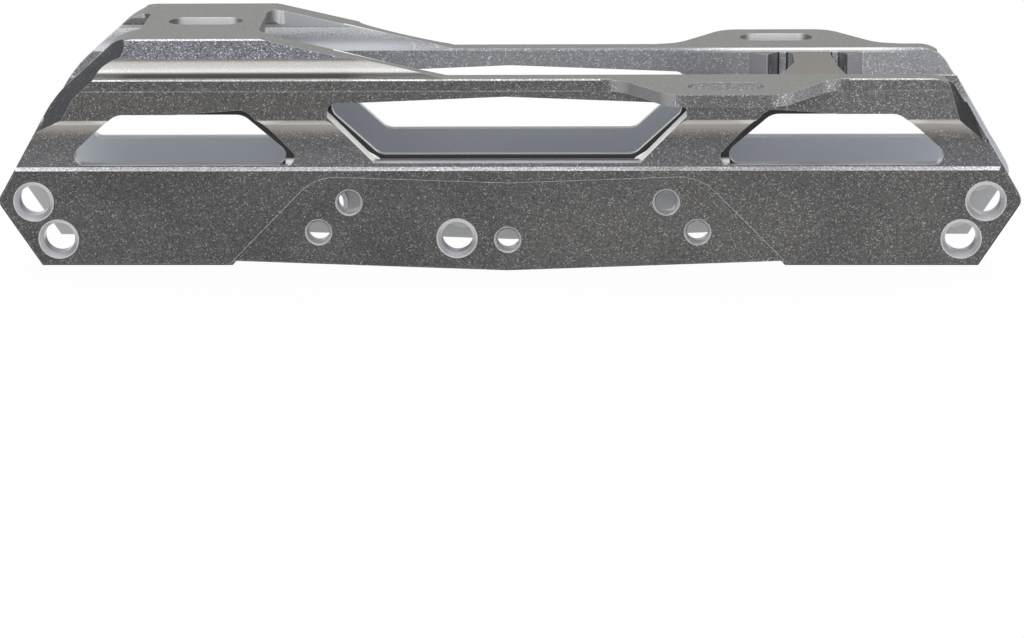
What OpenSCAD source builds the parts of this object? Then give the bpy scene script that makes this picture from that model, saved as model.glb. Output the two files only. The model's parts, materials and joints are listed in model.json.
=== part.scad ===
// Inline skate frame: one machined extrusion that carries four wheels in a line,
// with a pressed-in bush on the head side of each axle and a thread insert opposite.
// X runs from heel to toe, Y is across with the outer side of the boot at -Y,
// Z is up from the lowest point of the frame. Heights below are given from the
// flat lower edge, and everything is lifted by the depth of the middle point.

/* [Axles] */
// Distance between neighbouring axles
axle_pitch = 81; // [79:0.5:83]
// Height of the end axles above the flat lower edge
axle_z = 17.0; // [16.6:0.1:17.6]
// How much lower the two middle axles sit
rocker = 0.35; // [0:0.05:0.8]
// How far the low end axles sit inboard of the end axles
low_end_in = 6.0; // [5.8:0.1:6.6]
// Height of the low end axles
low_end_z = 7.1; // [6.9:0.1:7.4]
// How far the low middle axles sit outboard of the middle axles
low_mid_out = 8.0; // [7.8:0.1:8.6]
// Height of the low middle axles
low_mid_z = 8.8; // [8.2:0.1:9.0]
// Height of the centre axle
centre_z = 6.8; // [6.6:0.1:7.6]
// How far the second centre axle sits behind the centre axle
offset_back = 13.0; // [12.4:0.1:16]
// Height of the second centre axle
offset_z = 7.2; // [6.6:0.1:7.8]

/* [Axle pieces] */
// Outer diameter of a bush
bush_d = 10.4; // [10:0.1:10.6]
// Bore of a bush, which clears an 8 mm axle
bush_bore_d = 8.0; // [7.8:0.1:8.2]
// Depth of the cone that the axle head sits in
cone_depth = 1.4; // [1:0.1:2]
// Rim left around the cone
cone_rim = 0.2; // [0.1:0.05:0.4]
// Outer diameter of a thread insert
insert_d = 6.8; // [6.6:0.1:7]
// Inner diameter of a thread insert
insert_bore_d = 6.1; // [5.8:0.1:6.2]
// How far the spacer faces stand in from the walls
boss_h = 0.8; // [0.4:0.1:1.2]

/* [Walls] */
// Gap between the walls
channel_w = 26; // [25:0.5:28]
// Thickness of a wall below the ledge
wall_t = 4.3; // [4:0.1:4.8]
// Height of the ledge on the outside
ledge_z = 25.1; // [24.6:0.1:25.4]
// Width of the ledge, which slopes at 45 degrees
ledge_w = 0.8; // [0.5:0.1:1]
// Depth of the shallow panel on each wall
panel_depth = 0.35; // [0.2:0.05:0.6]
// Radius of the panel's upper corners
panel_r = 13; // [8:1:16]
// How far the middle of the lower edge hangs below the flat
apex_drop = 1.4; // [1:0.1:2]
// Bevel along the lower and end edges
edge_bevel = 0.55; // [0.3:0.05:0.8]

/* [Rails] */
// Width over the outsides of the rails
rail_w = 41.5; // [41:0.5:42.5]
// Gap between the rails
rail_gap = 30.4; // [29.6:0.2:31.2]
// Height of the lower edge of a rail
rail_z = 39.1; // [38.6:0.1:39.6]
// Height at which the gap widens to the rails
shoulder_z = 40.3; // [39.8:0.1:40.8]
// Radius of the hollow under a rail
cove_r = 6; // [5.5:0.1:7]
// Height of the top of the rails
rail_top_z = 49.65; // [49:0.05:50.5]

/* [Heel deck] */
// Height of the heel deck
deck_z = 60.45; // [59:0.05:62]
// Thickness of the heel deck
deck_t = 4.1; // [3.5:0.1:4.5]
// Width of the heel deck
deck_w = 44.6; // [44:0.2:46]
// Height of the heel deck's side, down from its top
deck_side_z = 5.15; // [4.6:0.05:5.5]
// Where the notch at the back ends, from the middle of the heel slot
deck_rear_x = -15.3; // [-17:0.1:-14.6]
// Where the deck starts to slope down towards the toe
deck_front_x = -61.5; // [-63:0.5:-60]
// Where the sloping arms meet the rails
slope_end_x = -15; // [-20:1:-10]
// Where the opening in front begins, from the middle of the heel slot
opening_x = 14.7; // [14:0.1:15.4]
// Width of the notch at the back of the deck
notch_w = 21; // [18:0.5:24]
// Thickness of the web that carries the deck, between its two hollows
web_t = 2.95; // [2.6:0.05:3.2]
// Radius of the hollow on the outside of the web
hollow_r = 2.95; // [2.85:0.05:3.1]

/* [Mounting] */
// Width of the mounting slots
slot_w = 8.8; // [8.2:0.1:9]
// Length of the mounting slots, end to end
slot_l = 19.2; // [17:0.2:20]
// Centre of the heel slot
heel_slot_x = -77.7; // [-79:0.1:-77]
// Centre of the outer toe slot
toe_slot_x = 55.1; // [53:0.1:57]
// How much further forward the inner toe slot sits
toe_slot_stagger = 14.6; // [12:0.1:16]
// Distance of the toe slots from the middle
toe_slot_y = 28.6; // [28.4:0.1:29]

/* [Toe wings] */
// Distance of a wing's edge from the middle
wing_y = 38.2; // [37.5:0.1:39]
// Thickness of a wing
wing_t = 3.1; // [2.8:0.1:3.4]
// Half the length of a wing's edge, to its sharp corners
wing_half = 13.9; // [13:0.1:15]
// How far a wing's flank runs along the rail
flank_run = 13.4; // [12:0.1:15]

/* [Ends] */
// How far the pointed tips stand beyond the end axles
tip_x = 9.35; // [8.8:0.05:9.9]
// Height of the pointed tips
tip_z = 17.0; // [16.6:0.1:17.4]
// How far the lower corners sit inboard of the end axles
corner_x = 1.45; // [1.2:0.05:2]
// Slope of the ends above the tips, in degrees
end_slope = 60; // [59:0.5:61]
// Bevel along the toe end of the wall above the ledge
end_bevel = 0.6; // [0.4:0.1:0.9]

/* [Windows] */
// Lower edge of the two end windows
window_z = 26.35; // [26.3:0.05:27]
// Upper edge of the two end windows
window_top_z = 40.6; // [40:0.1:41]
// How much lower their inner lip's upper edge lies
lip_drop = 1.35; // [1:0.05:1.8]
// Thickness of the lip left on the inside of a window
lip_t = 1.8; // [1.4:0.1:2.2]
// Lower edge of the middle window
mid_window_z = 28.85; // [28.4:0.05:29.4]
// Peak of the middle window
mid_window_top_z = 45.2; // [44.4:0.1:45.4]
// Lower edge of the recess round the middle window
recess_z = 27.6; // [27.4:0.1:28]
// How far the recess's walls lean out
recess_lean = 0.65; // [0.4:0.05:0.8]
// Radius of the scooped corner at the heel end of a rail
rear_scoop_r = 5; // [4.5:0.1:5.4]
// Radius of the scooped corner at the toe end
front_scoop_r = 5; // [4.5:0.1:5.1]

/* [Hidden] */
$fn = 96;
far = 200;
lift = apex_drop;
inner_y = channel_w / 2;
outer_y = inner_y + wall_t;
rail_in = rail_gap / 2;
rail_out = rail_w / 2;
deck_y = deck_w / 2;
wing_z = rail_top_z - wing_t;
deck_under_z = deck_z - deck_t;
spacer_y = inner_y - boss_h;
panel_y = outer_y - panel_depth;
upper_y = outer_y - ledge_w;
lip_y = inner_y + lip_t;

// Name, X, height and head side of each axle: -1 is the outer side of the boot
mid_x = axle_pitch / 2;
end_x = 1.5 * axle_pitch;
AXLES = [
    ["rear_high", -end_x, axle_z, -1],
    ["rear_low", -end_x + low_end_in, low_end_z, -1],
    ["midrear_high", -mid_x, axle_z - rocker, 1],
    ["midrear_low", -mid_x - low_mid_out, low_mid_z, 1],
    ["centre_offset", -offset_back, offset_z, -1],
    ["centre", 0, centre_z, 1],
    ["midfront_high", mid_x, axle_z - rocker, 1],
    ["midfront_low", mid_x + low_mid_out, low_mid_z, 1],
    ["front_low", end_x - low_end_in, low_end_z, -1],
    ["front_high", end_x, axle_z, -1]
];
// Axles that pass through the shallow panel
PANEL_AXLES = [2, 3, 4, 5, 6, 7];
function in_panel(i) = len(search(i, PANEL_AXLES)) > 0;
function face_y(i) = in_panel(i) ? panel_y : outer_y;

// Unit vector from p to q
function dir(p, q) = (q - p) / norm(q - p);

// The sliver between a sharp corner and the arc that rounds it, taken a little past the
// corner so that it overlaps what it is cut from or added to. The arc is a hair larger
// than its radius, so that it always crosses the two sides and leaves no thin remnant.
arc_cross = 0.002;
module corner_sliver(before, at, after, r) {
    u = dir(at, before);
    v = dir(at, after);
    bisector = (u + v) / norm(u + v);
    half = acos(u * v) / 2;
    reach = r / tan(half);
    difference() {
        polygon([at - bisector, at + u * reach, at + v * reach]);
        translate(at + bisector * r / sin(half)) circle(r + arc_cross);
    }
}

// A polygon with chosen corners rounded: each entry is [index, radius]
module rounded(points, corners) {
    n = len(points);
    difference() {
        polygon(points);
        for (c = corners)
            corner_sliver(points[(c[0] + n - 1) % n], points[c[0]], points[(c[0] + 1) % n], c[1]);
    }
}

// Puts a side view, drawn as X and Z, through the full width
module through_y(half_w = far) {
    rotate([90, 0, 0]) linear_extrude(2 * half_w, center = true) children();
}

// Repeats its children on both sides of the middle
module both_sides() {
    children();
    mirror([0, 1, 0]) children();
}

// Repeats its children at both ends
module both_ends() {
    children();
    mirror([1, 0, 0]) children();
}

// Cuts a 45 degree bevel along the edge from p to q at the given Y, with the metal on
// the left of that direction. It runs past both ends, so that bevels meet in a mitre.
module bevel_bar(p, q, y, size) {
    turn = atan2(q[1] - p[1], q[0] - p[0]);
    reach = 3 * size;
    translate([p[0], y, p[1]])
        rotate([0, -turn, 0])
            rotate([45, 0, 0])
                translate([-size, -reach, -reach])
                    cube([norm(q - p) + 2 * size, 2 * reach, reach + size / sqrt(2)]);
}

// Cross-section

// The wall runs straight up from the ledge, then a hollow carries it out to the rail
cove_x = upper_y + cove_r;
cove_z = rail_z - sqrt(pow(cove_r, 2) - pow(cove_x - rail_out, 2));
// Above the rail a thin web, hollowed on both sides, carries the heel deck
deck_side_low = deck_z - deck_side_z;
web_set_in = 0.8;
web_in = rail_in + web_set_in;
web_out = web_in + web_t;
web_z = (rail_top_z + deck_side_low) / 2;
inner_hollow_r = 6.8;
inner_hollow_drop = 4.05;
inner_hollow_z = deck_under_z - inner_hollow_drop;
// Step left on the rail where the toe wings were cut away
witness = 0.15;
top_bevel = 0.35;

module half_section() {
    difference() {
        polygon([
            [inner_y, -far / 10],
            [outer_y, -far / 10],
            [outer_y, ledge_z],
            [upper_y, ledge_z + ledge_w],
            [upper_y, cove_z],
            [rail_out, rail_z],
            [rail_out, wing_z],
            [rail_out - witness, wing_z + witness],
            [rail_out - witness, rail_top_z - top_bevel],
            [rail_out - witness - top_bevel, rail_top_z],
            [deck_y, deck_side_low],
            [deck_y, deck_z - top_bevel],
            [deck_y - top_bevel, deck_z],
            [0, deck_z],
            [0, deck_under_z],
            [rail_in, deck_under_z],
            [rail_in, shoulder_z + rail_in - inner_y],
            [inner_y, shoulder_z]
        ]);
        translate([cove_x, cove_z]) circle(cove_r);
        translate([web_out + hollow_r, web_z]) circle(hollow_r);
        translate([web_in - inner_hollow_r, inner_hollow_z]) circle(inner_hollow_r);
    }
}

// Side view

// The ends rise steeply, then lean over
lean_z = 44.6;
rear_lean = 41.6;
front_lean = 47;
lean_r = 30;
rear_top_r = 11;
front_top_r = 9;
tip_r = 3;
function slope_x(z) = end_x + tip_x - (z - tip_z) / tan(end_slope);
rear_top_x = -slope_x(lean_z) + (deck_z - lean_z) / tan(rear_lean);
front_top_x = slope_x(lean_z) - (rail_top_z - lean_z) / tan(front_lean);

// The middle stretch of the lower edge is cut a little higher, then falls to a point
step_in = 10.1;
step_x = axle_pitch - step_in;
step_up = 1.1;
REAR_TIP = [-slope_x(tip_z), tip_z];
REAR_CORNER = [corner_x - end_x, 0];
REAR_STEP = [-step_x, 0];
REAR_STEP_TOP = [-step_x + step_up, step_up];
APEX = [0, -apex_drop];
function across(p) = [-p[0], p[1]];

module side_outline() {
    rounded([
        REAR_TIP,
        REAR_CORNER,
        REAR_STEP,
        REAR_STEP_TOP,
        APEX,
        across(REAR_STEP_TOP),
        across(REAR_STEP),
        across(REAR_CORNER),
        across(REAR_TIP),
        [slope_x(lean_z), lean_z],
        [front_top_x, rail_top_z],
        [slope_end_x, rail_top_z],
        [deck_front_x, deck_z],
        [rear_top_x, deck_z],
        [-slope_x(lean_z), lean_z]
    ], [[0, tip_r], [8, tip_r], [9, lean_r], [10, front_top_r], [13, rear_top_r], [14, lean_r]]);
}

// The panel's sides run on below the lower edge, and its top dips in the middle
panel_past_axle = 8.4;
panel_side = mid_x + panel_past_axle;
panel_gap = 1.5;
panel_dip = 1.75;
module panel_outline() {
    foot = -2;
    foot_x = step_x + 3;
    rounded([
        [-foot_x, foot],
        [-panel_side, ledge_z - panel_gap],
        [0, ledge_z - panel_gap - panel_dip],
        [panel_side, ledge_z - panel_gap],
        [foot_x, foot]
    ], [[1, panel_r], [3, panel_r]]);
}

// The end windows taper upwards. Their inner lip is a plain trapezoid, and outside it
// the opening is wider at the top and towards the middle.
win_slope = 42.9;
win_slope_in = 41;
win_end_in = 7.1;
win_mid_out = 11.8;
win_low_x = [win_end_in - end_x, -mid_x - win_mid_out];
win_low_r = 2.5;
win_high_r = 5;
function rear_side_x(z) = win_low_x[0] + (z - window_z) / tan(win_slope);
function mid_side_x(z) = win_low_x[1] - (z - window_z) / tan(win_slope_in);

module end_lip_window() {
    top = window_top_z - lip_drop;
    rounded([
        [win_low_x[0], window_z],
        [win_low_x[1], window_z],
        [mid_side_x(top), top],
        [rear_side_x(top), top]
    ], [[0, win_low_r], [1, win_low_r], [2, win_high_r], [3, win_high_r]]);
}

// On the outside a land is left round the lip: from the middle of the top, round the
// upper corner on the side towards the middle, and down to the lower corner
land_foot_in = 2.9;
land_low_step = [1.5, 2.45];
land_peak_in = 13.6;
land_peak_rise = 1.3;
land_start_in = 31.7;
land_foot = [win_low_x[1] - land_foot_in, window_z];
land_low = land_foot + land_low_step;
land_peak = [win_low_x[1] - land_peak_in, window_top_z + land_peak_rise];
land_start = [win_low_x[1] - land_start_in, window_top_z];
land_foot_r = 1;
land_low_r = 1.6;
land_peak_r = 4;
module end_outer_window() {
    rounded([
        [win_low_x[0], window_z],
        land_foot,
        land_low,
        land_peak,
        land_start,
        [rear_side_x(window_top_z), window_top_z]
    ], [[0, win_low_r], [1, land_foot_r], [2, land_low_r], [3, land_peak_r], [5, win_high_r]]);
}

// The middle window has a shallow peak
mid_fall = 0.0405;
mid_past_axle = 3.9;
mid_low_in = 8;
mid_side_rise = 11;
mid_side = mid_x + mid_past_axle;
mid_low_r = 4;
mid_side_r = 3;
mid_top_r = 1.2;
function mid_top(x) = mid_window_top_z - x * mid_fall;
MID_LOW = [mid_low_in - mid_x, mid_window_z];
MID_SIDE = [-mid_side, mid_window_z + mid_side_rise];

module mid_window() {
    rounded([
        MID_LOW,
        across(MID_LOW),
        across(MID_SIDE),
        [mid_side, mid_top(mid_side)],
        [0, mid_window_top_z],
        [-mid_side, mid_top(mid_side)],
        MID_SIDE
    ], [[0, mid_low_r], [1, mid_low_r], [2, mid_side_r], [3, mid_top_r], [5, mid_top_r], [6, mid_side_r]]);
}

// One side of the space outside a leaning wall, whose foot runs from p to q on the lip
module leaning(p, q) {
    turn = atan2(q[1] - p[1], q[0] - p[0]);
    translate([p[0], 0, p[1]]) rotate([0, -turn, 0]) translate([-far, 0, 0])
        rotate([90, 0, 90]) linear_extrude(2 * far) polygon([
            [lip_y, 0],
            [upper_y, -recess_lean],
            [far, -recess_lean],
            [far, far],
            [lip_y, far]
        ]);
}

// The recess round the lower three sides of the middle window
recess_low_in = 6.9;
recess_flank = [11.4, 11.75];
recess_past_side = 1.2;
RECESS_LOW = [mid_x - recess_low_in, recess_z];
RECESS_SIDE = RECESS_LOW + recess_flank;
recess_side = mid_side + recess_past_side;
recess_top_r = 2.6;
module mid_recess() {
    intersection() {
        leaning(across(RECESS_LOW), RECESS_LOW);
        leaning(RECESS_LOW, RECESS_SIDE);
        leaning(across(RECESS_SIDE), across(RECESS_LOW));
        through_y() rounded([
            [-recess_side, 0],
            [recess_side, 0],
            [recess_side, mid_top(recess_side)],
            [0, mid_window_top_z],
            [-recess_side, mid_top(recess_side)]
        ], [[2, recess_top_r], [4, recess_top_r]]);
    }
}

// Everything further out than the lips, on one side
module outside_lips() {
    translate([-far, lip_y, -far]) cube([2 * far, far, 2 * far]);
}

// The outer corners of the ends are scooped out along a line on the rail's face,
// drawn as X and Z. The scoop's axis lies beside that line, deeper towards the top where
// it is tilted, and everything past the axis goes with it.
scoop_run = 15;
module end_scoop(low, high, r, off_face, tilt = 0) {
    turn = atan2(high[1] - low[1], high[0] - low[0]);
    long = 4 * scoop_run;
    translate([low[0], rail_out + off_face, low[1]]) rotate([0, -turn, 0]) rotate([0, 0, -tilt]) {
        translate([-scoop_run, 0, r]) rotate([0, 90, 0]) cylinder(r = r, h = long);
        translate([-scoop_run, -r, r]) cube([long, far, far]);
    }
}

// The upper part of the rear scoop ends in a ball, below the top of the deck
module ball_scoop(low, high, r, off_face) {
    turn = atan2(high[1] - low[1], high[0] - low[0]);
    long = norm(high - low);
    translate([low[0], rail_out + off_face, low[1]]) rotate([0, -turn, 0]) {
        translate([-scoop_run, 0, r]) rotate([0, 90, 0]) cylinder(r = r, h = scoop_run + long);
        translate([long, 0, r]) rotate([0, 90, 0]) sphere(r = r);
        translate([long, 0, r]) rotate([-90, 0, 0]) cylinder(r = r, h = r);
    }
}

// How far inboard of the ends the scoops run along the rail's face: the rear one keeps
// its distance, and the front one closes in on the top corner
rear_scoop_in = 5.3;
front_scoop_in = [3.85, 1.25];
rear_off_face = 1.05;
front_off_face = -0.8;
front_tilt = 9.3;
function lean_x(z, lean) = slope_x(lean_z) - (z - lean_z) / tan(lean);

module end_scoops() {
    foot_z = rail_z - 0.3;
    rear_head_z = deck_side_low + 0.2;
    front_foot_z = rail_z + 1.2;
    front_head_z = rail_top_z - 2.4;
    intersection() {
        union() {
            end_scoop([-slope_x(foot_z) + rear_scoop_in, foot_z],
                [-slope_x(lean_z) + rear_scoop_in, lean_z], rear_scoop_r, rear_off_face);
            ball_scoop([-slope_x(lean_z) + rear_scoop_in, lean_z],
                [-lean_x(rear_head_z, rear_lean) + rear_scoop_in, rear_head_z],
                rear_scoop_r, rear_off_face);
            mirror([1, 0, 0])
                end_scoop([-slope_x(front_foot_z) + front_scoop_in[0], front_foot_z],
                    [-lean_x(front_head_z, front_lean) + front_scoop_in[1], front_head_z],
                    front_scoop_r, front_off_face, front_tilt);
        }
        translate([-far, -far, ledge_z + ledge_w]) cube(2 * far);
    }
}

// Plan view

module slot_2d(l, w) {
    for (s = [-1, 1]) translate([s * (l - w) / 2, 0]) circle(d = w);
    square([l - w, w], center = true);
}

flank_in = rail_out - 1;
wing_root = wing_half + flank_run;
WING = [
    [-wing_root, flank_in],
    [-wing_half, wing_y],
    [wing_half, wing_y],
    [wing_root, flank_in]
];
corner_r = 8;
fillet_r = 9;

// A wing seen from above, with its middle at X = 0
module wing_2d() {
    rounded(WING, [[1, corner_r], [2, corner_r]]);
    foot = [wing_root - flank_run / (wing_y - flank_in), rail_out];
    for (s = [0, 1])
        mirror([s, 0]) corner_sliver([wing_half, wing_y], foot, foot + [fillet_r, 0], fillet_r);
}

// The bridge joins the rails between the third and fourth wheels. It widens
// towards the outer rail, and has a small bump on each side at the rails.
bridge_x = axle_pitch;
bridge_drop = 1;
bridge_t = 7.45;
bridge_top_z = rail_top_z - bridge_drop;
bridge_under_z = bridge_top_z - bridge_t;
bridge_waist_y = 3;
bump_depth = 3.7;
REAR_BUMP = [-19.2, -14.4, -6];
FRONT_BUMP = [11, 6.4, -1];
rear_hollow_x = -10.1;
front_hollow_x = 3.6;
rear_bump_r = 4;
front_bump_r = 3;
module bridge_2d() {
    root = rail_in + 1;
    polygon([
        [-7.6, root],
        [2, root],
        [2.6, bridge_waist_y],
        [5.6, -root],
        [-12.8, -root],
        [-7.4, bridge_waist_y]
    ]);
    for (side = [0, 1]) mirror([0, side]) {
        bump(REAR_BUMP, rear_hollow_x, rear_bump_r);
        bump(FRONT_BUMP, front_hollow_x, front_bump_r);
    }
}

// A bump against a rail: xs are its end at the rail, its shoulder and its root. A round
// hollow at mid is cut into it, almost up to the rail.
bump_skin = 0.2;
module bump(xs, mid, r) {
    crest = rail_in - bump_depth;
    difference() {
        polygon([[xs[0], rail_in + 1], [xs[0], rail_in], [xs[1], crest],
            [xs[2], crest], [xs[2], rail_in + 1]]);
        translate([mid, rail_in - bump_skin - r]) circle(r);
    }
}

// Pieces

module stock() {
    intersection() {
        both_sides() translate([-far, 0, 0]) rotate([90, 0, 90]) linear_extrude(2 * far) half_section();
        through_y() side_outline();
    }
    for (side = [-1, 1])
        translate([wing_x(side), 0, wing_z])
            linear_extrude(wing_t) on_side(side) wing_2d();
    translate([bridge_x, 0, bridge_under_z]) linear_extrude(bridge_top_z - bridge_under_z) bridge_2d();
    for (a = AXLES) thread_boss(a);
}

function wing_x(side) = toe_slot_x + (side > 0 ? toe_slot_stagger : 0);

module on_side(side) {
    if (side > 0) children();
    else mirror([0, 1]) children();
}

// Spacer face around a thread, on the inside of the wall opposite the bush
module thread_boss(a) {
    side = -a[3];
    translate([a[1], side * (inner_y + 1), a[2]])
        rotate([side * 90, 0, 0]) cylinder(d = bush_d, h = 1 + boss_h);
}

// The hole that an axle piece fills, from the middle outwards
module axle_hole(a, side, d) {
    translate([a[1], 0, a[2]]) rotate([-side * 90, 0, 0]) cylinder(d = d, h = rail_out);
}

module slots() {
    translate([heel_slot_x, 0, deck_under_z - 1]) linear_extrude(deck_t + 2) slot_2d(slot_l, slot_w);
    for (side = [-1, 1])
        translate([wing_x(side), side * toe_slot_y, wing_z - 1])
            linear_extrude(wing_t + 2) slot_2d(slot_l, slot_w);
}

// The deck is open in front of the heel slot and notched behind it
opening_r = 5;
notch_r = 3;
module deck_cuts() {
    front = heel_slot_x + opening_x;
    rear = heel_slot_x + deck_rear_x;
    half = notch_w / 2;
    translate([0, 0, deck_under_z - 0.5]) linear_extrude(deck_t + 1) {
        rounded([[front, -rail_in], [far, -rail_in], [far, rail_in], [front, rail_in]],
            [[0, opening_r], [3, opening_r]]);
        rounded([[-far, -half], [rear, -half], [rear, half], [-far, half]], [[1, notch_r], [2, notch_r]]);
    }
}

module lower_bevels() {
    edges = [
        [REAR_TIP, REAR_CORNER],
        [REAR_CORNER, REAR_STEP],
        [REAR_STEP_TOP, APEX]
    ];
    both_ends() for (e = edges) bevel_bar(e[0], e[1], outer_y, edge_bevel);
    both_ends() bevel_bar([-slope_x(ledge_z), ledge_z], REAR_TIP, outer_y, edge_bevel * 0.7);
    top_z = cove_z - end_bevel;
    mirror([1, 0, 0]) bevel_bar([-slope_x(top_z), top_z], [-slope_x(ledge_z), ledge_z], upper_y, end_bevel);
}

module frame_body() {
    color("dimgray") translate([0, 0, lift]) difference() {
        stock();
        through_y() {
            both_ends_2d() end_lip_window();
            mid_window();
        }
        both_sides() {
            translate([0, panel_y, 0]) panel_cutter();
            lower_bevels();
            mid_recess();
            intersection() {
                through_y() both_ends_2d() end_outer_window();
                outside_lips();
            }
            end_scoops();
        }
        deck_cuts();
        slots();
        for (a = AXLES) {
            axle_hole(a, a[3], bush_d);
            axle_hole(a, -a[3], insert_d);
        }
    }
}

module both_ends_2d() {
    children();
    mirror([1, 0]) children();
}

module panel_cutter() {
    translate([0, panel_depth + 1, 0]) rotate([90, 0, 0]) linear_extrude(panel_depth + 1) panel_outline();
}

// A bush: the axle's head seats in its cone, and its inner end spaces the bearing
module axle_bush(i) {
    a = AXLES[i];
    long = face_y(i) - spacer_y;
    color("silver") translate([a[1], a[3] * spacer_y, a[2] + lift]) rotate([-a[3] * 90, 0, 0])
        rotate_extrude() polygon([
            [bush_bore_d / 2, 0],
            [bush_d / 2, 0],
            [bush_d / 2, long],
            [bush_d / 2 - cone_rim, long],
            [bush_bore_d / 2, long - cone_depth]
        ]);
}

// A thread insert: a thin sleeve that takes the end of the axle
module thread_insert(i) {
    a = AXLES[i];
    long = face_y(i) - spacer_y;
    rim = 0.25;
    color("lightgray") translate([a[1], -a[3] * spacer_y, a[2] + lift]) rotate([a[3] * 90, 0, 0])
        rotate_extrude() polygon([
            [insert_bore_d / 2, 0],
            [insert_d / 2, 0],
            [insert_d / 2, long],
            [insert_bore_d / 2 + rim, long],
            [insert_bore_d / 2, long - rim]
        ]);
}

frame_body();
for (i = [0 : len(AXLES) - 1]) {
    axle_bush(i);
    thread_insert(i);
}
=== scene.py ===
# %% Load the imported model
import json
import math

import bpy
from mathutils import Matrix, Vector

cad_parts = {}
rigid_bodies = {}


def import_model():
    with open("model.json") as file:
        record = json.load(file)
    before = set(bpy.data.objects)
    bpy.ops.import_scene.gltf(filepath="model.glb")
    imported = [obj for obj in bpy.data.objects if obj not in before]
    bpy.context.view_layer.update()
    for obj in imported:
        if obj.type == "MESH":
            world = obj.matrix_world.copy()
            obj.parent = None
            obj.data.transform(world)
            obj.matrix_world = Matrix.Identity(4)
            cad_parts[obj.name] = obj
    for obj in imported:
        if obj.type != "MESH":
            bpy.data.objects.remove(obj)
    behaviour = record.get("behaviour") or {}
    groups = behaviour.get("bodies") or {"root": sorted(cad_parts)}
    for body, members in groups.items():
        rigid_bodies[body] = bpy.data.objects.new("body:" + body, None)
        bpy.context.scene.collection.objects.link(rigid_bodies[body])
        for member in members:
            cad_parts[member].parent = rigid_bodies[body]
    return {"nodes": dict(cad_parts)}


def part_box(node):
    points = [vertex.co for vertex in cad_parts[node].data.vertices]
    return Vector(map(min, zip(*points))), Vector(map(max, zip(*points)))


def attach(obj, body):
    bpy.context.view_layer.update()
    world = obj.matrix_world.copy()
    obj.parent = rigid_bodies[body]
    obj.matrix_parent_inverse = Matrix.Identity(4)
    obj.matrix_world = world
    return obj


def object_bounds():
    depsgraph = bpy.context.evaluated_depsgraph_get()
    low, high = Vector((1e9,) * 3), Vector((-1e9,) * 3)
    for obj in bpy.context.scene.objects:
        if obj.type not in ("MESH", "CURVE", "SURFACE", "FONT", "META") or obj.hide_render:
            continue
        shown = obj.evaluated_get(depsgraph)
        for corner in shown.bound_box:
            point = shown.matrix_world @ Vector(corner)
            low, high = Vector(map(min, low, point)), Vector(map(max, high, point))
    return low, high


MM = 0.001
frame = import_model()
nodes = frame["nodes"]
cad_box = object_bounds()
bpy.context.scene.view_settings.view_transform = "Standard"
print("nodes:", len(nodes))
print("box in mm:", [[round(v / MM, 2) for v in corner] for corner in cad_box])

# %% [markdown]
# ## The subject
# This is the bare frame of an inline skate: one aluminium extrusion, cut away on a
# machining centre until two thin walls, two rails, a heel deck and two toe wings are
# left. Every axle has a turned bush in one wall and a threaded insert in the other.
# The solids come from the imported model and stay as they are. This file gives them
# their finishes, cuts the threads and lights the part as a product picture.
#
# ## Camera
# The picture was taken with a long lens, a little above the part, so its verticals
# hardly converge. Rather than place such a camera by eye, the angles, distance and
# focal length were solved from points that the model and the picture share: the
# axle holes, the mounting slots and the corners of the side. The result goes in as a
# matrix, because a lens this long turns half a degree into many pixels.

# %% Camera
def new_object(name, data):
    """An object around a mesh, a camera or a lamp, put in the scene."""
    made = bpy.data.objects.new(name, data)
    bpy.context.scene.collection.objects.link(made)
    return made


def aimed_camera(azimuth, elevation, roll, distance, target, lens):
    """A camera that looks along the azimuth, tilted down by the elevation."""
    forward = Vector((math.sin(azimuth) * math.cos(elevation),
                      math.cos(azimuth) * math.cos(elevation), -math.sin(elevation)))
    side = Vector((math.cos(azimuth), -math.sin(azimuth), 0))
    over = side.cross(forward)
    right = math.cos(roll) * side + math.sin(roll) * over
    up = math.cos(roll) * over - math.sin(roll) * side
    data = bpy.data.cameras.new("studio_camera")
    data.lens, data.sensor_width = lens, 36
    data.clip_start, data.clip_end = 0.01, 20
    camera = new_object("studio_camera", data)
    eye = Vector(target) - forward * distance
    for row in range(3):
        camera.matrix_world[row] = (right[row], up[row], -forward[row], eye[row])
    return camera


camera = aimed_camera(azimuth=-0.0397372, elevation=0.2961010, roll=-0.0110161,
                      distance=899.64 * MM, target=(0.199 * MM, 0, -18.176 * MM),
                      lens=120.32)
bpy.context.scene.camera = camera
print("camera at", [round(v, 3) for v in camera.matrix_world.translation])

# %% [markdown]
# ## Shader maths
# A finish is a formula over the surface: how far a point is from an edge, which way
# it faces, how the grain varies. Written node by node, such a formula takes pages.
# The small class below wraps a node's output and gives it the usual operators, so
# that `1 - mask * 0.3` adds the Math nodes by itself. Colours and vectors go through
# Mix and Vector Math nodes, as a Math node would turn them grey.

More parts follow.
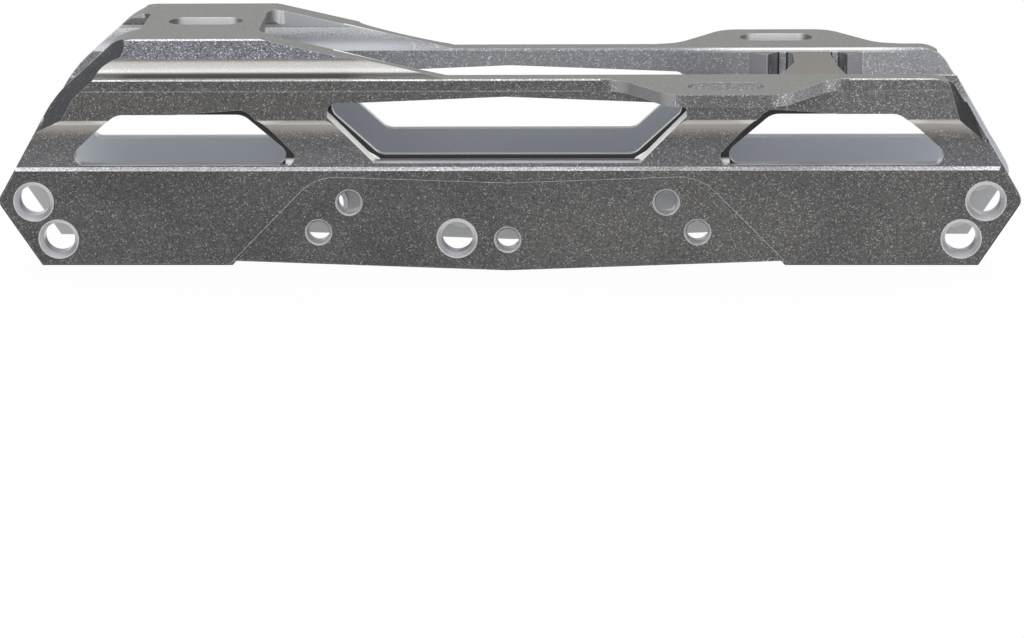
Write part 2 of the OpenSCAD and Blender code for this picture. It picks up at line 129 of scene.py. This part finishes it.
# %% Sockets that can be calculated with
class Value:
    """A number that varies over the surface, held as the output of a shader node."""

    def __init__(self, tree, socket):
        self.tree, self.socket = tree, socket

    def math(self, operation, *others):
        made = self.tree.node("ShaderNodeMath", {"operation": operation}, [self, *others])
        return Value(self.tree, made.outputs[0])

    def __add__(self, other): return self.math("ADD", other)
    def __radd__(self, other): return self.math("ADD", other)
    def __mul__(self, other): return self.math("MULTIPLY", other)
    def __rmul__(self, other): return self.math("MULTIPLY", other)
    def __sub__(self, other): return self.math("SUBTRACT", other)
    def __rsub__(self, other): return (self * -1) + other
    def __pow__(self, other): return self.math("POWER", other)
    def __abs__(self): return self.math("ABSOLUTE")
    def __gt__(self, other): return self.math("GREATER_THAN", other)
    def __lt__(self, other): return self.math("LESS_THAN", other)
    def most(self, other): return self.math("MAXIMUM", other)

    def ramp(self, low, high):
        """0 up to low, 1 from high on, and smooth between; low may be the larger."""
        span = self.tree.node("ShaderNodeMapRange", {"interpolation_type": "SMOOTHSTEP"},
                              [self, low, high, 0.0, 1.0])
        return Value(self.tree, span.outputs[0])


print("a value takes + - * ** < > and abs, and has most and ramp")

# %% [markdown]
# ## Trees and finishes
# Materials, the world and Geometry Nodes all keep their nodes in a tree of the same
# kind. So one class adds nodes to any tree, and feeds each input with whatever comes:
# a plain number, a socket to link or a calculated value. A finish is such a tree
# around a Principled shader, with a few more words for grain, place and facing.

# %% A tree of nodes
class Tree:
    """Adds nodes to a tree, and links or sets what feeds them."""

    def __init__(self, tree):
        self.nodes, self.links = tree.nodes, tree.links

    def node(self, kind, settings=None, values=()):
        made = self.nodes.new(kind)
        for key, setting in (settings or {}).items():
            setattr(made, key, setting)
        pairs = values.items() if isinstance(values, dict) else enumerate(values)
        for key, value in pairs:
            self.feed(made.inputs[key], value)
        return made

    def feed(self, socket, value):
        if isinstance(value, Value):
            value = value.socket
        if isinstance(value, bpy.types.NodeSocket):
            self.links.new(value, socket)
        else:
            socket.default_value = value

    def split(self, vector):
        """A vector's three parts."""
        parts = self.node("ShaderNodeSeparateXYZ", values=[vector]).outputs
        return [Value(self, part) for part in parts]

    def seen(self):
        """1 for rays that show a thing: from the camera, off a gloss or through glass."""
        paths = self.node("ShaderNodeLightPath").outputs
        camera, gloss, glass = [Value(self, paths[name]) for name in (
            "Is Camera Ray", "Is Glossy Ray", "Is Transmission Ray")]
        return camera.most(gloss).most(glass)


print("a tree adds nodes, feeds sockets and splits vectors")

# %% A finish: a material that formulas can be added to
class Finish(Tree):
    """One material and the nodes that its formulas add."""

    def __init__(self, name, **shader):
        self.material = bpy.data.materials.new(name)
        self.material.use_nodes = True
        super().__init__(self.material.node_tree)
        self.shader = self.nodes["Principled BSDF"]
        for socket, value in shader.items():
            self.paint(socket.replace("_", " "), value)

    def paint(self, socket, value):
        """Feeds one input of the Principled shader."""
        self.feed(self.shader.inputs[socket], value)

    def place(self):
        """The point on the surface, in millimetres of the model's own axes."""
        coordinates = self.node("ShaderNodeTexCoord").outputs["Object"]
        scaled = self.shade(coordinates, 1 / MM)
        return scaled, self.split(scaled)

    def facing(self):
        """Which way the surface faces, as X, Y and Z from -1 to 1."""
        return self.split(self.node("ShaderNodeNewGeometry").outputs["True Normal"])

    def noise(self, vector, scale, detail=2.0, roughness=0.5):
        made = self.node("ShaderNodeTexNoise", {"noise_dimensions": "3D"},
                         {"Vector": vector, "Scale": scale, "Detail": detail,
                          "Roughness": roughness})
        return Value(self, made.outputs["Fac"])

    def cells(self, vector, scale):
        """A random number for each grain of a Voronoi pattern."""
        made = self.node("ShaderNodeTexVoronoi", values={"Vector": vector, "Scale": scale})
        parts = self.node("ShaderNodeSeparateColor", values=[made.outputs["Color"]])
        return Value(self, parts.outputs[0])

    def vector(self, operation, first, second):
        """Vector maths on two vectors: MULTIPLY, SUBTRACT or DOT_PRODUCT."""
        return self.node("ShaderNodeVectorMath", {"operation": operation}, [first, second])

    def blend(self, mask, colour_a, colour_b):
        """colour_a where the mask is 0, colour_b where it is 1."""
        mix = self.node("ShaderNodeMix", {"data_type": "RGBA"},
                        {"Factor": mask, 6: colour_a, 7: colour_b})
        return mix.outputs[2]

    def shade(self, colour, amount):
        """A colour or a vector times a number."""
        mix = self.node("ShaderNodeVectorMath", {"operation": "SCALE"},
                        {0: colour, "Scale": amount})
        return mix.outputs[0]

    def bump(self, height, distance, strength=0.5, **more):
        values = {"Strength": strength, "Distance": distance, "Height": height, **more}
        return self.node("ShaderNodeBump", values=values).outputs[0]


def grey(level, red=0.0, blue=0.0):
    """A colour from its level on screen, 0 to 255, with a little red or blue added."""
    def linear(v):
        v = v / 255
        return v / 12.92 if v <= 0.04045 else ((v + 0.055) / 1.055) ** 2.4
    return (linear(level + red), linear(level), linear(level + blue), 1.0)


print("a screen level of 92 is", round(grey(92)[0], 4), "in linear light")

# %% [markdown]
# ## The blasted and milled aluminium
# The real frame was extruded, blasted to a fine sparkle and anodised dark. Then a
# cutter ran over it again: the window lands, the scooped ends and the top faces are
# smooth, and each arris it left shines. One material carries all of this, because it
# is one piece of metal. Much of its colour is painted light: many zones carry painted
# reflections, highlights and shade, chosen by which way a face points. It could be
# painted as an image, but an image needs UVs and fixes the detail. Instead each zone is
# a mask, made from where a point lies and which way its face points, so it holds from
# every side and however close one comes.
#
# In the formulas x runs from the heel to the toe, y across and z up from the lowest
# point, all in millimetres. `out` is the distance from the middle plane, and `along`
# the distance from the middle of the length.

# %% Where a point of the body lies, and which way it faces
METALNESS = 0.75


def dress(piece, finish):
    """Gives a piece one finish."""
    piece.data.materials.clear()
    piece.data.materials.append(finish.material)


metal = Finish("blasted_aluminium", Metallic=METALNESS)
point, (x, y, z) = metal.place()
out, along = abs(y), abs(x)
nx, ny, nz = metal.facing()
endways, sideways = abs(nx), abs(ny)
flat_side = sideways.ramp(0.9, 0.97)
facing_up = nz.ramp(0.60, 0.72) * (sideways < 0.5)
facing_down = nz.ramp(-0.45, -0.8)
upright = abs(nz) < 0.3

# Edges of the forms, a hair outside the solids' own: heights, then distances outwards.
WING_FOOT, RAIL_ARRIS, RAIL_TOP, DECK_UNDER = 47.9, 50.6, 51.1, 57.0
WALL_OUT, RAIL_OUT = 17.2, 20.9


def between(value, low, high):
    """1 where a value lies between two limits."""
    return (value > low) * (value < high)


def zone(z_range, out_range):
    """1 between two heights and between two distances from the middle plane, in mm."""
    return between(z, *z_range) * between(out, *out_range)


class Coat:
    """The colour of the body, built up zone by zone with its painted light and shade, and how
    much each zone sparkles.
    """

    def __init__(self, finish, colour, sparkle):
        self.finish, self.colour, self.sparkle, self.zones = finish, colour, sparkle, 0

    def over(self, mask, colour, sparkle):
        self.colour = self.finish.blend(mask, self.colour, colour)
        self.sparkle = self.sparkle + (sparkle - self.sparkle) * mask
        self.zones += 1


print("masks are read from the place in mm and from the facing")

# %% [markdown]
# ### Walls and rails
# The blasted side is the darkest large area, a little paler towards the toe. Just
# above the ledge it is lighter and bluer, and painted shade darkens it upwards to the
# hollow under the rail. The ledge itself, which faces up, gets a painted highlight. The
# rail's own face is paler towards the toe too, except under the toe wing, where a
# painted shadow of the wing makes it almost black. A gradient per zone is enough for this.

# %% Walls, rail faces and the ledge
WING_X, WING_SHIFT = 62.4, 7.3
streaks = metal.noise(metal.vector("MULTIPLY", point, (0.10, 1.6, 1.6)).outputs[0], 1.3)
patches = metal.noise(point, 0.045, detail=1.0)
towards_toe = patches.ramp(0.35, 0.65) * 0.4 + x.ramp(-130.0, 130.0) * 0.6
coat = Coat(metal, metal.blend(towards_toe, grey(79, 1, 0), grey(99, 1, -1)), sparkle=1.0)

# Lighter and bluer just above the ledge, with painted shade darkening it upwards under the
# rail.
above_ledge = zone((27.2, 36.0), (16.0, WALL_OUT))
coat.over(above_ledge, metal.blend(z.ramp(35.0, 28.0), grey(97), grey(106, 0, 3)),
          sparkle=0.8)
rail_face = zone((40.4, RAIL_TOP), (20.4, RAIL_OUT)) * flat_side
coat.over(rail_face, metal.blend(x.ramp(-20.0, 90.0), grey(91, 1, -1), grey(106, 1, 0)),
          sparkle=1.0)
from_wing = abs(x - WING_X - y.math("SIGN") * WING_SHIFT)
# Painted shadow of the toe wing on the rail face below it.
painted_wing_shadow = rail_face * from_wing.ramp(27.0, 14.0) * z.ramp(43.0, 47.4)
coat.over(painted_wing_shadow * 0.85, grey(48, 5, -5), sparkle=0.5)
# Painted highlight on the ledge, where it faces up.
ledge = between(z, 26.4, 27.4) * (out > 16.3) * between(nz, 0.4, 0.9) * (sideways > 0.4)
coat.over(ledge, grey(214, 0, 5), sparkle=0.9)
print("zones so far:", coat.zones)

# %% [markdown]
# ### Deck, web and wings
# The tops were faced last and are an even, matte taupe; part of that taupe is a painted
# reflection of the room above, chosen by facing up. The side of the deck is blasted
# more coarsely than the walls and sparkles most. Below it a hollow runs along the web:
# its upper part faces the table and carries a painted reflection of it, almost white,
# and its foot is painted dark. The bridge and the wing edges are painted lighter or
# darker by which way they face.

# %% Tops, deck side and the hollow above the rail
taupe_and_reflection = metal.blend(streaks, grey(112, 0, -3), grey(121, 0, -4))
# The tops' own milled taupe, lightened as a painted reflection of the room above.
coat.over(facing_up, taupe_and_reflection, sparkle=0.3)
bridge = between(x, 60.0, 102.0) * (out < 15.1) * between(z, 42.0, 50.95)
# Painted light and shade on the bridge by facing: its upright sides lighter, its top darker.
coat.over(bridge, metal.blend(facing_up, grey(150, -1, 4), grey(109, 5, -7)), sparkle=0.1)
deck_side = between(z, 56.6, 61.6) * (out > 22.0) * flat_side
coat.over(deck_side, grey(122, -1, 7), sparkle=1.3)
# Painted reflection of the table on the hollow's upper part, its foot painted dark.
hollow = zone((51.15, 56.7), (18.4, 22.25)) * (1 - facing_up)
coat.over(hollow, metal.blend(z.ramp(52.2, 52.9), grey(102, 2, -2), grey(214, 1, -4)),
          sparkle=0.1)
wing_edge = between(z, WING_FOOT, RAIL_TOP) * (out > RAIL_OUT) * upright
# Painted light by facing: the wing edges that turn endways are lighter.
coat.over(wing_edge, metal.blend(endways.ramp(0.08, 0.6), grey(106, 1, 0), grey(158, 0, 2)),
          sparkle=0.9)
# Painted light where the wing's edge sweeps round and turns endways.
wing_sweep = wing_edge * (abs(x - 35.0) < 7.0) * endways.ramp(0.1, 0.3)
coat.over(wing_sweep, grey(148, 0, 2), sparkle=0.1)
print("zones so far:", coat.zones)

# %% [markdown]
# ### Undersides and the cove
# Under each rail the wall curves outwards in a cove. It turns until it faces down, and
# there it would pick up the warm white of the table. A real mirror would do that by itself,
# but this metal is too rough, so that reflection is painted: the warm tone follows the
# curve by height, up to a painted white highlight near its top. Every face that points
# down gets a painted reflection of the table too.

# %% Undersides and the cove under the rail
# Painted reflection of the table on every face that points down.
coat.over(facing_down, metal.blend(streaks, grey(150, 4, -6), grey(176, 4, -6)), sparkle=0.2)
# Painted reflection in the cove, darker at its foot; then a painted white highlight near its
# top.
cove = zone((34.76, 40.52), (16.45, 20.7)) * (endways < 0.1)
coat.over(cove, metal.blend(z.ramp(35.0, 40.4), grey(104, 3, -2), grey(192, 5, -7)),
          sparkle=z.ramp(38.0, 35.0) * 0.8)
coat.over(cove * z.ramp(38.4, 39.5), grey(255, 4, -6), sparkle=0.0)
print("zones so far:", coat.zones)

# %% [markdown]
# ### Inside the channel
# The extrusion's own inner faces were never blasted: they are smooth and blue-grey,
# and lighter towards the ends, up to the corners that the blasting reached. Their
# colours are written lighter than they look, as painted light that offsets the shade
# inside the channel. Seen through the windows and over the near rail, they are what
# makes the part look hollow.

# %% Inner faces of the walls and rails
inner = flat_side * (out < 14.0)
# Painted light: the inner faces' blue-grey, made lighter to offset the shade inside the
# channel.
inner_colour_and_light = metal.blend(along.ramp(35.0, 75.0), grey(186, -4, 7), grey(203, -4, 7))
coat.over(inner, inner_colour_and_light, sparkle=0.03)
blasted_corner = inner * along.ramp(101.0, 106.0) * z.ramp(37.0, 40.0)
coat.over(blasted_corner, grey(156, -1, 3), sparkle=0.8)
coat.over(inner * z.ramp(19.0, 15.0), grey(176, -1, 1), sparkle=0.03)
spacer_face = inner * (out < 12.5)
coat.over(spacer_face, grey(190, -1, 1), sparkle=0.03)

# Painted light on the inner faces of the rails, lighter towards the toe, offsetting the shade
# inside the channel.
inner_rail = between(out, 14.9, 16.1) * (z > 41.0) * (sideways > 0.5)
coat.over(inner_rail, metal.blend(x.ramp(20.0, 90.0), grey(146, -1, 4), grey(176, -1, 4)),
          sparkle=0.6)
# A painted white highlight along the top of the inner rail near the toe.
toe_end = x.ramp(40.0, 66.0) * x.ramp(108.0, 92.0)
coat.over(inner_rail * toe_end * z.ramp(49.5, 50.5), grey(255), sparkle=0.2)
print("zones so far:", coat.zones)

# %% The inner side of the deck
# Painted light and shade by facing on the inner side of the deck: faces turned endways are
# darker.
deck_inside = inner_rail * (z > DECK_UNDER)
coat.over(deck_inside, metal.blend(endways.ramp(0.7, 0.2), grey(120), grey(212, -2, 4)),
          sparkle=0.05)
# Painted light and shade by facing in the pocket near the heel: faces turned endways are
# darker.
pocket = between(x, -70.0, -50.0) * (out < 15.25) * (z > DECK_UNDER)
pocket = pocket * upright * (sideways < 0.98)
coat.over(pocket, metal.blend(endways.ramp(0.9, 0.35), grey(128), grey(244)), sparkle=0.05)
# Painted reflection of the table in the hollow under the deck's inner side, whitest at the top.
inner_hollow = zone((RAIL_ARRIS, 57.7), (15.21, 16.1)) * x.ramp(-8.0, -40.0)
coat.over(inner_hollow, metal.blend(z.ramp(53.0, 56.5), grey(186, -2, 6), grey(255, -4, 0)),
          sparkle=z.ramp(53.0, 55.0) * 0.5)
print("zones so far:", coat.zones)

# %% [markdown]
# ### Windows
# Round each window the cutter left a narrow land, set back from the side. It is painted
# almost black, a painted reflection of the dark front of the studio, except along the
# foot of the lips, where it gets a painted highlight. The floors and the leaning walls
# of the windows turn upwards and are painted lighter by facing, up to a painted white
# highlight on the steep ones. The lip's slope is a straight line in the side view, so
# the distance to it is a rotated coordinate.

# %% Lands, lips, floors and leaning walls
WINDOW_FLOOR, WINDOW_TOP, LAND_EDGE = 29.0, 46.8, 14.85
LIP_START, LIP_SLOPE = 33.6, math.radians(45.87)
land = flat_side * between(out, 14.7, 14.9)
land_foot = between(along, 50.0, 56.6) * z.ramp(29.5, 28.4)
from_lip = (z - WINDOW_FLOOR) * math.cos(LIP_SLOPE) - (along - LIP_START) * math.sin(LIP_SLOPE)
land_strip = between(along, 31.5, 47.0) * (from_lip < z.ramp(31.4, 29.2) * 0.8 + 0.14)
# Painted highlight along the foot of the lips; elsewhere the land is painted almost black as a
# painted reflection.
land_highlight = land * land_foot.most(land_strip)
coat.over(land, metal.blend(land_highlight, grey(50, 1, 0), grey(250)), sparkle=0.0)

# Painted light by facing on the window walls: lighter where they turn endways and towards the
# outside.
window_wall = zone((27.6, WINDOW_TOP), (13.05, WALL_OUT)) * (sideways < 0.6) * (1 - cove)
painted_wall_light = endways.ramp(0.3, 0.6) * 0.6 + out.ramp(15.2, 15.8) * 0.4
coat.over(window_wall, metal.blend(painted_wall_light, grey(146, -2, 5), grey(226, -1, 2)),
          sparkle=0.1)
# A painted glint at the lower corners of the windows.
painted_glint = window_wall * (out > LAND_EDGE) * between(along, 50.0, 56.0) * (nz > 0.15)
coat.over(painted_glint, grey(250), sparkle=0.0)
# Painted light on the leaning walls, up to a painted white highlight where they turn endways.
leaning_wall = zone((WINDOW_FLOOR, WINDOW_TOP), (LAND_EDGE, 16.6)) * between(sideways, 0.2, 0.6)
painted_lit_wall = metal.blend(out.ramp(14.9, 16.4), grey(96, -1, 3), grey(186, -1, 4))
coat.over(leaning_wall, metal.blend(endways.ramp(0.3, 0.6), painted_lit_wall, grey(255)),
          sparkle=0.0)
print("zones so far:", coat.zones)

# %% [markdown]
# ### Slots
# Three slots take the bolts that hold the frame to the boot. Their walls were milled
# like the tops, but they stand upright, and a painted reflection of the table makes them
# paler. The heel slot and the far toe slot show a smooth wall, painted white where it
# faces across and painted into shade as it turns endways.

# %% Walls of the mounting slots
HEEL_SLOT_X, DECK_FOOT = -77.7, 56.0
toe_slot = (from_wing < 10.0) * between(out, 24.0, 33.2)
heel_slot = (abs(x - HEEL_SLOT_X) < 9.9) * (out < 4.6)
# Painted reflection of the table on the slot walls, paler on the heel slot.
slot_wall = (z > WING_FOOT) * upright * toe_slot.most(heel_slot)
coat.over(slot_wall, metal.blend(z > DECK_FOOT, grey(158, -1, 3), grey(222, -1, 4)),
          sparkle=0.5)
# Painted white highlight that turns to painted shade as the wall turns endways.
smooth_slot = slot_wall * (y > 6.0).most(heel_slot)
coat.over(smooth_slot, metal.blend(endways.ramp(0.25, 0.7), grey(250), grey(124)),
          sparkle=0.05)
print("zones so far:", coat.zones)

# %% [markdown]
# ### Scooped ends and arrises
# A ball cutter took the outer corners off the ends and left them satin; they are painted
# dark, as a painted reflection. Where two faces meet, a painted highlight makes the sharp
# edge bright. No line is drawn for that: the Bevel node gives the normal that a rounded
# edge would have, and the further it turns from the true normal, the closer the point is
# to an edge. Only the long top lines of the rails and the deck, which are bevels of their
# own, have a zone, with a painted highlight of its own.

# %% Scooped ends, bevels and top lines
HEEL_END, TOE_END = -92.0, 103.5
ends = (x < HEEL_END).most(x > TOE_END)
# The scooped ends painted dark as a painted reflection, lighter at the heel end.
scooped = ends * (z > 33.6) * (out > 15.0) * between(sideways, 0.03, 0.97) * (endways > 0.06)
scoop_reflection = streaks * 0.4 + (x < 0) * 0.6
coat.over(scooped, metal.blend(scoop_reflection, grey(52, 1, 0), grey(80, -1, 4)), sparkle=0.35)
low_bevel = (z < 27.0) * (out > 16.5) * between(sideways, 0.3, 0.9) * (nz < 0.2)
coat.over(low_bevel, grey(60, 0, 1), sparkle=0.2)
# Painted highlight on the top bevels of the rails and the deck, brighter towards the heel.
rail_line = between(z, RAIL_ARRIS, RAIL_TOP) * (out > 20.2)
deck_line = (z > 61.4) * (out > 21.9)
bevel_face = between(nz, 0.3, 0.9) * between(sideways, 0.3, 0.9) * (1 - scooped)
line_highlight = (x < -20.0) * (1 - deck_line * 0.5)
coat.over(rail_line.most(deck_line) * bevel_face,
          metal.blend(line_highlight, grey(188, 0, 3), grey(242, 0, 3)), sparkle=0.9)
print("zones so far:", coat.zones)

# %% Painted highlights on the arrises
EDGE_ROUND = 0.24 * MM
softened = metal.node("ShaderNodeBevel", {"samples": 6}, {"Radius": EDGE_ROUND}).outputs[0]
true_normal = metal.node("ShaderNodeNewGeometry").outputs["True Normal"]
agreement = metal.vector("DOT_PRODUCT", softened, true_normal).outputs["Value"]
arris = (1 - Value(metal, agreement)).ramp(0.01, 0.10)
# Painted highlight on every arris, brightest round the side panels.
panel_rim = between(z, 2.2, 25.6) * (out > 16.85) * (along < 78.0)
fillet_start = between(from_wing, 24.0, 36.0) * between(z, WING_FOOT, RAIL_ARRIS)
coat.over(arris * (panel_rim * 0.5 + 0.5) * (1 - fillet_start),
          metal.blend(panel_rim, grey(206, 0, 3), grey(228)), sparkle=0.3)
print("zones in all:", coat.zones)

# %% [markdown]
# ### Sparkle
# Blasted metal is a field of tiny dents, each a small mirror. Seen from arm's length
# most of them blur into a grain, and a few flash. A Voronoi pattern a quarter of a
# millimetre across gives each dent its own brightness, and on the top tenth a painted
# flash of light is added to the colour. The same pattern drives the bump and the
# roughness, so the three agree. The painted highlights in the windows are less
# metallic, so that their painted white shows whole and is not dimmed by reflection.

# %% Grain, painted flashes and bump
GRAINS_PER_MM, GRAIN_GAIN, PAINTED_FLASH_GAIN = 3.9, 0.78, 1.6
BUMP_HEIGHT = 0.02 * MM
grain = metal.cells(point, GRAINS_PER_MM)
mottle = metal.noise(point, 2.4, roughness=0.6)
# The grain and mottle are the metal's own tone; the flashes added on the top tenth are painted
# glints.
painted_flash = grain.ramp(0.90, 0.985)
grain_and_painted_flash = (grain - 0.45) * GRAIN_GAIN + (mottle - 0.5) + painted_flash * PAINTED_FLASH_GAIN
metal.paint("Base Color", metal.shade(coat.colour, 1 + grain_and_painted_flash * coat.sparkle))
# The painted highlights in the windows are made less metallic.
painted_highlights = (leaning_wall * (endways > 0.3)).most(painted_glint).most(land_highlight)
metal.paint("Metallic", METALNESS - painted_highlights * 0.7)
metal.paint("Roughness", 0.40 + mottle * 0.10 - painted_flash * coat.sparkle * 0.15)
dents = (grain * 0.6 + mottle * 0.4) * coat.sparkle
metal.paint("Normal", metal.bump(dents, BUMP_HEIGHT, Normal=softened))

body = nodes["frame_body"]
dress(body, metal)
print("frame_body:", len(body.data.polygons), "triangles,", len(metal.nodes), "shader nodes")

# %% [markdown]
# ## Turned bushes and inserts
# A bush is turned on a lathe, so its tool marks are rings about its own axis. The
# distance from the axis then feeds a noise, which gives rings of uneven width.

# %% Turned metal
def turned_metal(name, level):
    """Rings about the axis of one bush or insert, as bright as the level on screen."""
    low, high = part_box(name)
    finish = Finish("turned_" + name, Metallic=0.85)
    point, _ = finish.place()
    middle = tuple((low + high) / 2 / MM)
    local = finish.vector("SUBTRACT", point, middle).outputs[0]
    x, y, z = finish.split(local)
    radius = (x * x + z * z) ** 0.5
    wound = finish.node("ShaderNodeCombineXYZ", values=[radius, y, 0.0]).outputs[0]
    rings, smudge = finish.noise(wound, 5.0), finish.noise(local, 0.5)
    finish.paint("Base Color", finish.blend(rings * 0.6 + smudge * 0.4,
                                            grey(level - 34, -1, 3), grey(level, 0, 2)))
    finish.paint("Roughness", 0.22 + rings * 0.2)
    finish.paint("Normal", finish.bump(rings, BUMP_HEIGHT))
    return finish


TONES = {"bush": 222, "insert": 205}
turned = [name for name in nodes if name.split("_")[0] in TONES]
for name in turned:
    dress(nodes[name], turned_metal(name, TONES[name.split("_")[0]]))
print("turned pieces:", len(turned))

# %% [markdown]
# ## The threads inside the inserts
# Each insert is a sleeve with a thread, and the solids leave its bore plain, because a
# thread costs a solid model thousands of faces. A thread is one shape that repeats:
# a small triangle swept along a helix. So a Geometry Nodes tree makes it once, from a
# spiral and a three-sided profile, and sets a copy on a point at each bore's mouth.
# Which way a copy runs is stored on its point. The tree ends by making the copies real.

# %% A tree that threads every bore
def thread_tree(material):
    """Copies of one thread on points, each turned to the side that its point stores."""
    group = bpy.data.node_groups.new("threads_on_points", "GeometryNodeTree")
    face = group.interface
    face.new_socket("Geometry", in_out="INPUT", socket_type="NodeSocketGeometry")
    for name in ("Bore radius", "Pitch", "Ridge", "Length"):
        face.new_socket(name, in_out="INPUT", socket_type="NodeSocketFloat")
    face.new_socket("Geometry", in_out="OUTPUT", socket_type="NodeSocketGeometry")
    tree = Tree(group)
    given = tree.node("NodeGroupInput").outputs

    turns = tree.node("ShaderNodeMath", {"operation": "DIVIDE"},
                      [given["Length"], given["Pitch"]])
    helix = tree.node("GeometryNodeCurveSpiral", values={
        "Resolution": 26, "Rotations": turns.outputs[0], "Height": given["Length"],
        "Start Radius": given["Bore radius"], "End Radius": given["Bore radius"]})
    profile = tree.node("GeometryNodeCurvePrimitiveCircle", values={
        "Resolution": 3, "Radius": given["Ridge"]})
    swept = tree.node("GeometryNodeCurveToMesh", values={
        "Curve": helix.outputs[0], "Profile Curve": profile.outputs[0], "Fill Caps": True})

    side = tree.node("GeometryNodeInputNamedAttribute", {"data_type": "FLOAT"},
                     {"Name": "side"})
    quarter = tree.node("ShaderNodeMath", {"operation": "MULTIPLY"},
                        [side.outputs["Attribute"], math.pi / 2])
    turn = tree.node("ShaderNodeCombineXYZ", values={"X": quarter.outputs[0]})
    placed = tree.node("GeometryNodeInstanceOnPoints", values={
        "Points": given["Geometry"], "Instance": swept.outputs[0], "Rotation": turn.outputs[0]})
    real = tree.node("GeometryNodeRealizeInstances", values=[placed.outputs[0]])
    coloured = tree.node("GeometryNodeSetMaterial", values={
        "Geometry": real.outputs[0], "Material": material})
    tree.node("NodeGroupOutput", values=[coloured.outputs[0]])
    return group


thread_finish = Finish("cut_thread", Metallic=0.85)
smear = thread_finish.noise(thread_finish.place()[0], 1.1)
thread_finish.paint("Base Color", thread_finish.blend(smear, grey(150, 0, 3), grey(214, 0, 2)))
thread_finish.paint("Roughness", 0.25 + smear * 0.2)
threads_on_points = thread_tree(thread_finish.material)
print("nodes in the thread tree:", len(threads_on_points.nodes))

# %% [markdown]
# ### From points to one mesh
# The tree needs points to work on: one in the mouth of each insert, with the side of
# the frame it is on. The modifier's inputs are set by their identifiers. Then the
# evaluated object is copied to a plain mesh, which no longer needs the modifier.

# %% The threads as one plain mesh
THREAD = {"Bore radius": 3.05 * MM, "Pitch": 1.0 * MM, "Ridge": 0.26 * MM, "Length": 3.9 * MM}
THREAD_START = 0.45 * MM


def bore_mouths():
    """An object of points, one where the thread of each insert starts."""
    spots, sides = [], []
    for name in sorted(nodes):
        if name.startswith("insert_"):
            low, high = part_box(name)
            side = 1.0 if low.y + high.y > 0 else -1.0
            mouth = (low.y if side < 0 else high.y) - side * THREAD_START
            spots.append(((low.x + high.x) / 2, mouth, (low.z + high.z) / 2))
            sides.append(side)
    mesh = bpy.data.meshes.new("bore_mouths")
    mesh.from_pydata(spots, [], [])
    mesh.attributes.new("side", "FLOAT", "POINT").data.foreach_set("value", sides)
    return new_object("bore_mouths", mesh)


def plain_mesh(points, group, sizes, name):
    """What the tree makes on the points, as a mesh of its own without the modifier."""
    modifier = points.modifiers.new(name, "NODES")
    modifier.node_group = group
    for item in group.interface.items_tree:
        if item.item_type == "SOCKET" and item.in_out == "INPUT" and item.name in sizes:
            modifier[item.identifier] = sizes[item.name]
    graph = bpy.context.evaluated_depsgraph_get()
    made = bpy.data.meshes.new_from_object(points.evaluated_get(graph))
    made.name = name
    bpy.data.objects.remove(points)
    return new_object(name, made)


threads = plain_mesh(bore_mouths(), threads_on_points, THREAD, "insert_threads")
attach(threads, "root")
print("threads:", len(threads.data.polygons), "faces in one mesh")

# %% [markdown]
# ## Floor and light
# A product picture on white wants the white from the floor itself and not from more
# light on the part. The floor is pale; for the camera and for reflections it is lifted
# towards white, and the part's shadow stays in it. One wide lamp hangs overhead, a
# smaller one stands in front, and the world fills the rest evenly.

# %% Floor and world
FLOOR_DROP = 0.1 * MM
FLOOR_WHITENED = 0.97


def studio_floor(z, half=6.0):
    """A pale square under the part, lifted towards white where a ray shows it."""
    corners = [(-half, -half, z), (half, -half, z), (half, half, z), (-half, half, z)]
    mesh = bpy.data.meshes.new("floor")
    mesh.from_pydata(corners, [], [(0, 1, 2, 3)])
    finish = Finish("white_floor", Roughness=0.9, Base_Color=(0.9, 0.9, 0.9, 1))
    glow = finish.node("ShaderNodeEmission", values={"Strength": 1.0})
    mix = finish.node("ShaderNodeMixShader", values=[
        finish.seen() * FLOOR_WHITENED, finish.shader.outputs[0], glow.outputs[0]])
    finish.feed(finish.nodes["Material Output"].inputs[0], mix.outputs[0])
    mesh.materials.append(finish.material)
    return new_object("floor", mesh)


def studio_world(level):
    """Even light from all round, a hair blue, and white where a ray shows it."""
    world = bpy.data.worlds.new("studio")
    world.use_nodes = True
    bpy.context.scene.world = world
    tree = Tree(world.node_tree)
    fill = tree.nodes["Background"]
    fill.inputs["Color"].default_value = (level, level, level * 1.02, 1)
    white = tree.node("ShaderNodeBackground", values={"Color": (1, 1, 1, 1)})
    mix = tree.node("ShaderNodeMixShader", values=[
        tree.seen(), fill.outputs[0], white.outputs[0]])
    tree.feed(tree.nodes["World Output"].inputs[0], mix.outputs[0])


floor = studio_floor(cad_box[0][2] - FLOOR_DROP)
studio_world(level=0.72)
print("floor at", round(cad_box[0][2] - FLOOR_DROP, 5), "m")

# %% Lamps
def soft_lamp(name, place, size, power):
    """A rectangular lamp that faces the part."""
    data = bpy.data.lights.new(name, "AREA")
    data.shape, data.energy = "RECTANGLE", power
    data.size, data.size_y = size
    lamp = new_object(name, data)
    lamp.location = place
    lamp.rotation_euler = (-Vector(place)).to_track_quat("-Z", "Y").to_euler()


soft_lamp("overhead", place=(0, 0.15, 1.1), size=(1.6, 0.9), power=4)
soft_lamp("front_fill", place=(-0.5, -1.2, 0.7), size=(0.8, 0.6), power=3)
